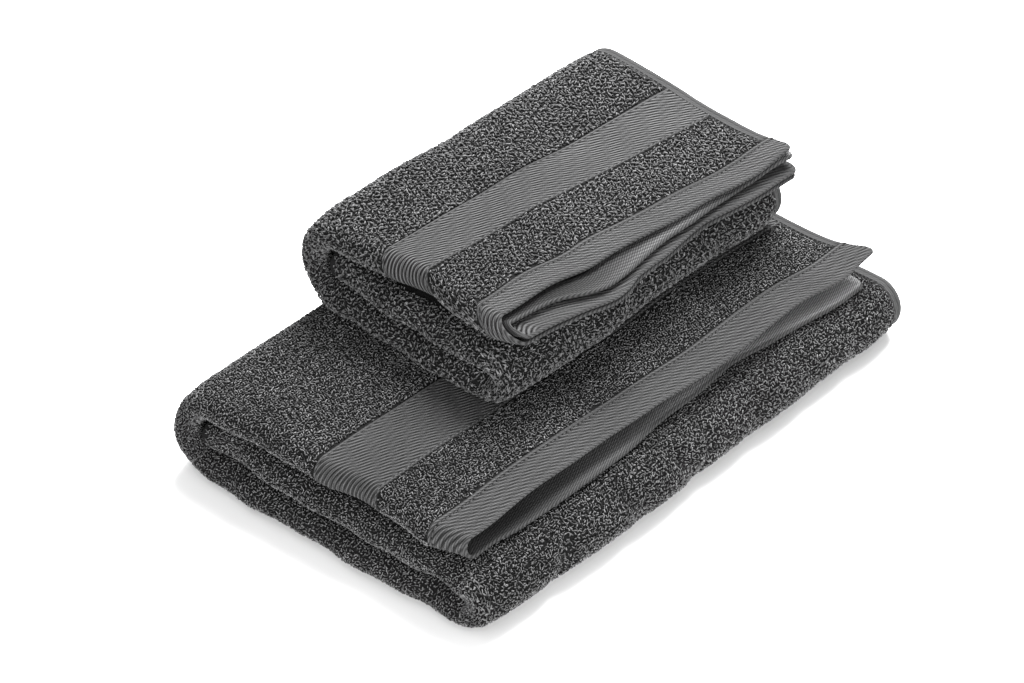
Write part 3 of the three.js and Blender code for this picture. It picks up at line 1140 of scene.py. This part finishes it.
    def build_side_hem(self, lower: bool) -> bpy.types.Object:
        """Side hem: a smooth woven strip with a rolled edge and painted shade in the dips between
        its ridges.

        Args:
            lower: whether it is the hem of the lower arm of the fold.

        Returns:
            The hem.
        """
        roll = 1.25
        depth = np.array([roll, 2.6, 3.2, 4.0, 4.8, 5.6, 6.7, SIDE_HEM_WIDTH + 0.4])
        rise = np.array([roll, 1.1, 0.78, 1.12, 1.0, 1.15, 1.0, 0.5])
        # painted shade: darker in the dips between the ridges and where the hem meets the pile
        painted_shade = np.array([1.0, 0.9, 0.5, 1.0, 0.7, 1.0, 0.8, 0.3])
        turn = np.linspace(PI / 2, -PI / 2, 5)[1:-1]
        run = np.concatenate([depth[::-1], roll - roll * np.cos(turn), depth])
        lift = np.concatenate([rise[::-1], roll * np.sin(turn), -rise])
        shade = np.concatenate([painted_shade[::-1], np.full(3, 1.0), painted_shade])
        v = self.cloth_rows()
        v = np.unique(np.concatenate([v, (v[1:] + v[:-1]) / 2]))
        v = v[(v >= self.hem_width - 2) & (v <= self.length - self.hem_width + 2)]
        gv, gu = np.meshgrid(v, run)
        wobble = 0.35 * np.sin(gv / 9.0) + 0.25 * np.sin(gv / 23.0 + 2)
        gu = self.width - (gu + wobble) if lower else gu + wobble
        lift, shade = (np.broadcast_to(row[:, None], gu.shape) for row in (lift, shade))
        return self.tube(f"{'lower' if lower else 'upper'}_side_hem", (gu, gv, lift), shade,
                         self.finishes.hem, not lower)

    # -- seams
    def build_seam(self, name: str, along_u: bool, at: float, length: float,
                   node: str) -> bpy.types.Object:
        """Row of stitches sunk in a hem.

        A stitch is a spindle: radius times the root of a half circle along
        its length, with four sides.

        Args:
            name: object's name.
            along_u: whether it runs across the sheet.
            at: its place in the other direction.
            length: end of its run.
            node: the solid model's node that it stands for.

        Returns:
            The stitches.
        """
        start = SIDE_HEM_WIDTH / 2 if along_u else self.hem_width
        stitch, gap, radius = 2.6, 0.7, 0.38
        begin = np.arange(start, length - start - stitch, stitch + gap)
        t = np.array([0.0, 0.18, 0.82, 1.0])
        girth = np.array([0.05, 1.0, 1.0, 0.05])[:, None] * radius
        sunk = np.array([-0.25, 0.0, 0.0, -0.25])[:, None]
        angle = np.arange(4) * PI / 2 + PI / 4
        run, side, lift = np.broadcast_arrays(
            begin[:, None, None] + t[:, None] * stitch, at + girth * np.cos(angle),
            SEAM_SEAT + sunk + girth * np.sin(angle))
        u, v = (run, side) if along_u else (side, run)
        one = np.concatenate([grid_faces(4, 4, round_rows=True),
                              [[3, 2, 1, 0], [12, 13, 14, 15]]])
        if along_u:
            one = one[:, ::-1]
        faces = (one + (np.arange(len(begin)) * 16)[:, None, None]).reshape(-1, 4)
        made = mesh_object(name, self.point(u, v, lift).reshape(-1, 3), faces,
                           np.stack([u, v], axis=-1).reshape(-1, 2) * MM)
        self.finishes.dress(made, self.finishes.thread, Slot.THREAD)
        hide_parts(node)
        return made

    def build_seams(self) -> list:
        """The two end seams and the two side seams."""
        base = self.body.value
        end, side = self.hem_width - END_SEAM_INSET, SIDE_HEM_WIDTH - SIDE_SEAM_INSET
        plans = (
            ("outer_end", True, end, self.width),
            ("inner_end", True, self.length - end, self.width),
            ("upper_side", False, side, self.length),
            ("lower_side", False, self.width - side, self.length),
        )
        return [self.build_seam(f"{base}_{part}_stitches", along, at, length,
                                f"{base}_{part}_thread")
                for part, along, at, length in plans]

    def build(self) -> list:
        """Returns:
            Its pieces, first the ground cloth.
        """
        ground = self.build_cloth()
        dressing = self.build_pile()
        dressing.append(self.build_band())
        for flag in (False, True):
            dressing.append(self.build_end_hem(flag))
            dressing.append(self.build_side_hem(flag))
        seams = self.build_seams()
        for piece in (ground, *dressing, *seams):
            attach(piece, self.body.value)
        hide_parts(f"{self.body.value}_cloth")
        return [ground, *dressing, *seams]


BATH_EASE = Ease(
    fold_in=((0, 19), (14, 17), (28, 13), (42, 13), (62, 15), (88, 15), (108, 12), (150, 10.5),
             (190, 9), (225, 5), (262, 2.5), (330, 3), (400, 4.5), (440, 6.5), (480, 8),
             (525, 9.5), (560, 8), (620, 7.5), (660, 8)),
    upper_side=((0, 1), (10, -2), (22, -6), (60, -8), (200, -7), (250, 1), (480, 2)),
    lower_side=((0, -14), (40, -9), (120, -6), (250, 1), (480, 2)),
    upper_slide=((-170, 5), (-100, 6), (-20, 6), (12, 4), (32, 3.2), (60, 4.2), (85, 5.6),
                 (120, 6), (160, 3)),
    lower_slide=((-165, 2), (-145, -1), (-115, -2), (-84, -1), (-47, 2), (-20, 4), (35, 6),
                 (63, 7.5), (95, 5), (130, 2), (165, 0)),
    tucked_slide=((-200, 0), (200, 0)), tucked_reach=0.0, inset=5.5,
    front=((-186, 7), (-165, 4.5), (-110, 3.5), (-80, 2.5), (-20, 3.5), (10, 5.5), (100, 6.5),
           (125, 8), (160, 7.5), (186, 10)),
    shear=0.0, back=1.0, rise=1.015,
    creases=((-121, 6, 2.0, 0.5), (-60, 7, 2.2, -0.6), (-14, 6, 2.6, -0.7), (3, 5, 1.6, 0.4),
             (48, 8, 1.4, 0.3), (100, 9, 1.6, -0.4), (141, 7, 1.4, 0.3)),
    hollows=((39, 18, 12, 4.5, 6), (11, 12, 5, 9, 2.5), (201, 26.4, 13, 6, 5)),
    swell=((0.6, 190, 260, 0.3), (0.35, -110, 95, 1.1), (0.3, 67, 150, 2.6)))
HAND_EASE = Ease(
    fold_in=((0, 17), (8, 14), (20, 10), (40, 9.5), (56, 11), (66, 13), (84, 13), (92, 10.5),
             (104, 8), (122, 6), (140, 4), (190, 0), (230, -1.5), (275, -1), (325, 1), (350, 2),
             (380, 1.5), (420, 0.5), (450, 2.5), (478, 4)),
    upper_side=((0, 5), (10, 4), (20, 2.5), (80, 3), (120, 6), (160, 6), (220, 0), (420, 0)),
    lower_side=((0, 3), (60, 0), (420, 0)),
    upper_slide=((-124, 9), (-80, 12), (-50, 10.5), (-28, 11.3), (0, 8.3), (25, 6.3), (60, 5.2),
                 (90, 6), (120, 6.8)),
    lower_slide=((-110, 0), (-96, -0.8), (-78, -4.2), (-54, -8.8), (-40, -7.4), (-25, -3.6),
                 (-12, -3.8), (3, -4.6), (25, -2.2), (42, -1.2), (61, -3.5), (80, -5),
                 (106, -5.3)),
    tucked_slide=((-110, 0), (-85, -1.5), (-66, -8.5), (-52, -10.7), (-34, -8.8), (-9, -6),
                  (15, -3.3), (40, -3), (62, -1.8), (85, 1.3), (105, 1.2), (120, 0)),
    tucked_reach=6.0, inset=7.0,
    front=((-124, 3), (-110, 2), (-56, 0), (-20, 1), (5, 4), (70, 4), (105, 2), (124, 5)),
    shear=0.0577, back=3.0, rise=1.05,
    creases=((-58, 7, 2.0, -0.6), (-12, 8, 1.6, 0.5), (70, 9, 1.2, 0.4)),
    hollows=((18, 17, 11, 5, 6), (128, 26.4, 12, 6, 6)),
    swell=((0.8, 170, 210, 1.9), (0.4, -90, 120, 0.2), (0.3, 61, 99, 0.9)))


# ---- studio
@dataclass
class Studio:
    """Floor, lights and camera."""

    azimuth: float = -47.8
    elevation: float = 36.8
    distance: float = 2.143
    target: tuple = (-0.0366, -0.012, 0.0643)
    focal_pixels: float = 3842.0
    width_pixels: float = 1024.0
    sensor: float = 36.0

    def build(self) -> None:
        """Builds the floor, the lights and the camera."""
        self.build_floor()
        self.build_lights()
        self.build_camera()

    def build_floor(self) -> None:
        """Plain pale floor."""
        size = 6.0
        corners = np.array([[-1, -1, 0], [1, -1, 0], [1, 1, 0], [-1, 1, 0]]) * size
        floor = mesh_object("floor", corners, np.array([[0, 1, 2, 3]]))
        material = bpy.data.materials.new("pale_floor")
        material.use_nodes = True
        feed(material.node_tree, material.node_tree.nodes["Principled BSDF"],
             {"Base Color": (0.9, 0.9, 0.9, 1), "Roughness": 0.9})
        floor.data.materials.append(material)

    def area_light(self, name: str, place: tuple, size: float, power: float) -> None:
        """Square light aimed at the middle of the set.

        Args:
            name: its name.
            place: where it hangs.
            size: its side.
            power: its power in watts.
        """
        data = bpy.data.lights.new(name, "AREA")
        data.size = size
        data.energy = power
        lamp = bpy.data.objects.new(name, data)
        lamp.location = place
        away = np.array(place) - np.array(self.target)
        lamp.rotation_euler = (float(np.arctan2(np.hypot(away[0], away[1]), away[2])), 0.0,
                               float(np.arctan2(away[0], -away[1])))
        bpy.context.scene.collection.objects.link(lamp)

    def build_lights(self) -> None:
        """Soft overhead light with a low fill from the viewer's side."""
        world = bpy.data.worlds.new("studio")
        world.use_nodes = True
        feed(world.node_tree, world.node_tree.nodes["Background"],
             {"Color": (1, 1, 1, 1), "Strength": 0.85})
        bpy.context.scene.world = world
        self.area_light("overhead", (1.0, 0.45, 1.35), 1.1, 138.0)
        self.area_light("low_fill", (-1.3, -1.6, 0.5), 1.1, 66.0)
        bpy.context.scene.view_settings.view_transform = "Standard"

    def build_camera(self) -> None:
        """Camera at the studio's viewing angle."""
        data = bpy.data.cameras.new("camera")
        data.sensor_width = self.sensor
        data.lens = self.focal_pixels / self.width_pixels * self.sensor
        data.clip_end = 50.0
        camera = bpy.data.objects.new("camera", data)
        a, e = np.radians(self.azimuth), np.radians(self.elevation)
        way = np.array([np.sin(a) * np.cos(e), -np.cos(a) * np.cos(e), np.sin(e)])
        camera.location = np.array(self.target) + self.distance * way
        camera.rotation_euler = (PI / 2 - e, 0.0, a)
        bpy.context.scene.collection.objects.link(camera)
        bpy.context.scene.camera = camera


def main() -> None:
    """Builds the studio and both towels, and reports each piece."""
    logging.basicConfig(level=logging.INFO, format="%(name)s: %(message)s")
    Studio().build()
    finishes = Finishes()
    finishes.build()
    low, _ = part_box("bath_towel_cloth")
    bath = FoldedTowel(
        body=Body.BATH, width=750.0, length=1340.0, band=(63.0, 109.0), tuck=25.0, lead=26.0,
        origin=(0.0, 0.0, 0.0), turn=0.0, seed=11, finishes=finishes, ease=BATH_EASE)
    bath.origin = (low[0] / MM + bath.half, low[1] / MM + FRONT_RADIUS + REACH - bath.fold_y, 0.0)
    hand = FoldedTowel(
        body=Body.HAND, width=500.0, length=960.0, band=(62.0, 100.0), tuck=5.0, lead=3.0,
        origin=(bath.origin[0] + 49.0, bath.origin[1] + 44.0, PACK_HEIGHT + LAYER_GAP),
        turn=-3.3, seed=12, finishes=finishes, ease=HAND_EASE, hem_width=18.0,
        pitch=1.92, yarn=(0.54, 0.7), foot=(1.4, 3.2), clumping=1.4,
        crown_highlight=1.3, flank_shade=0.16, mixing=0.24, cord_painted_shade=(0.0, 2.0, 6.2), inner_face_light=0.75,
        hem_cord=2.3)
    for towel in (bath, hand):
        for piece in towel.build():
            LOG.info("%s: %d faces", piece.name, len(piece.data.polygons))


if __name__ == "__main__":
    main()
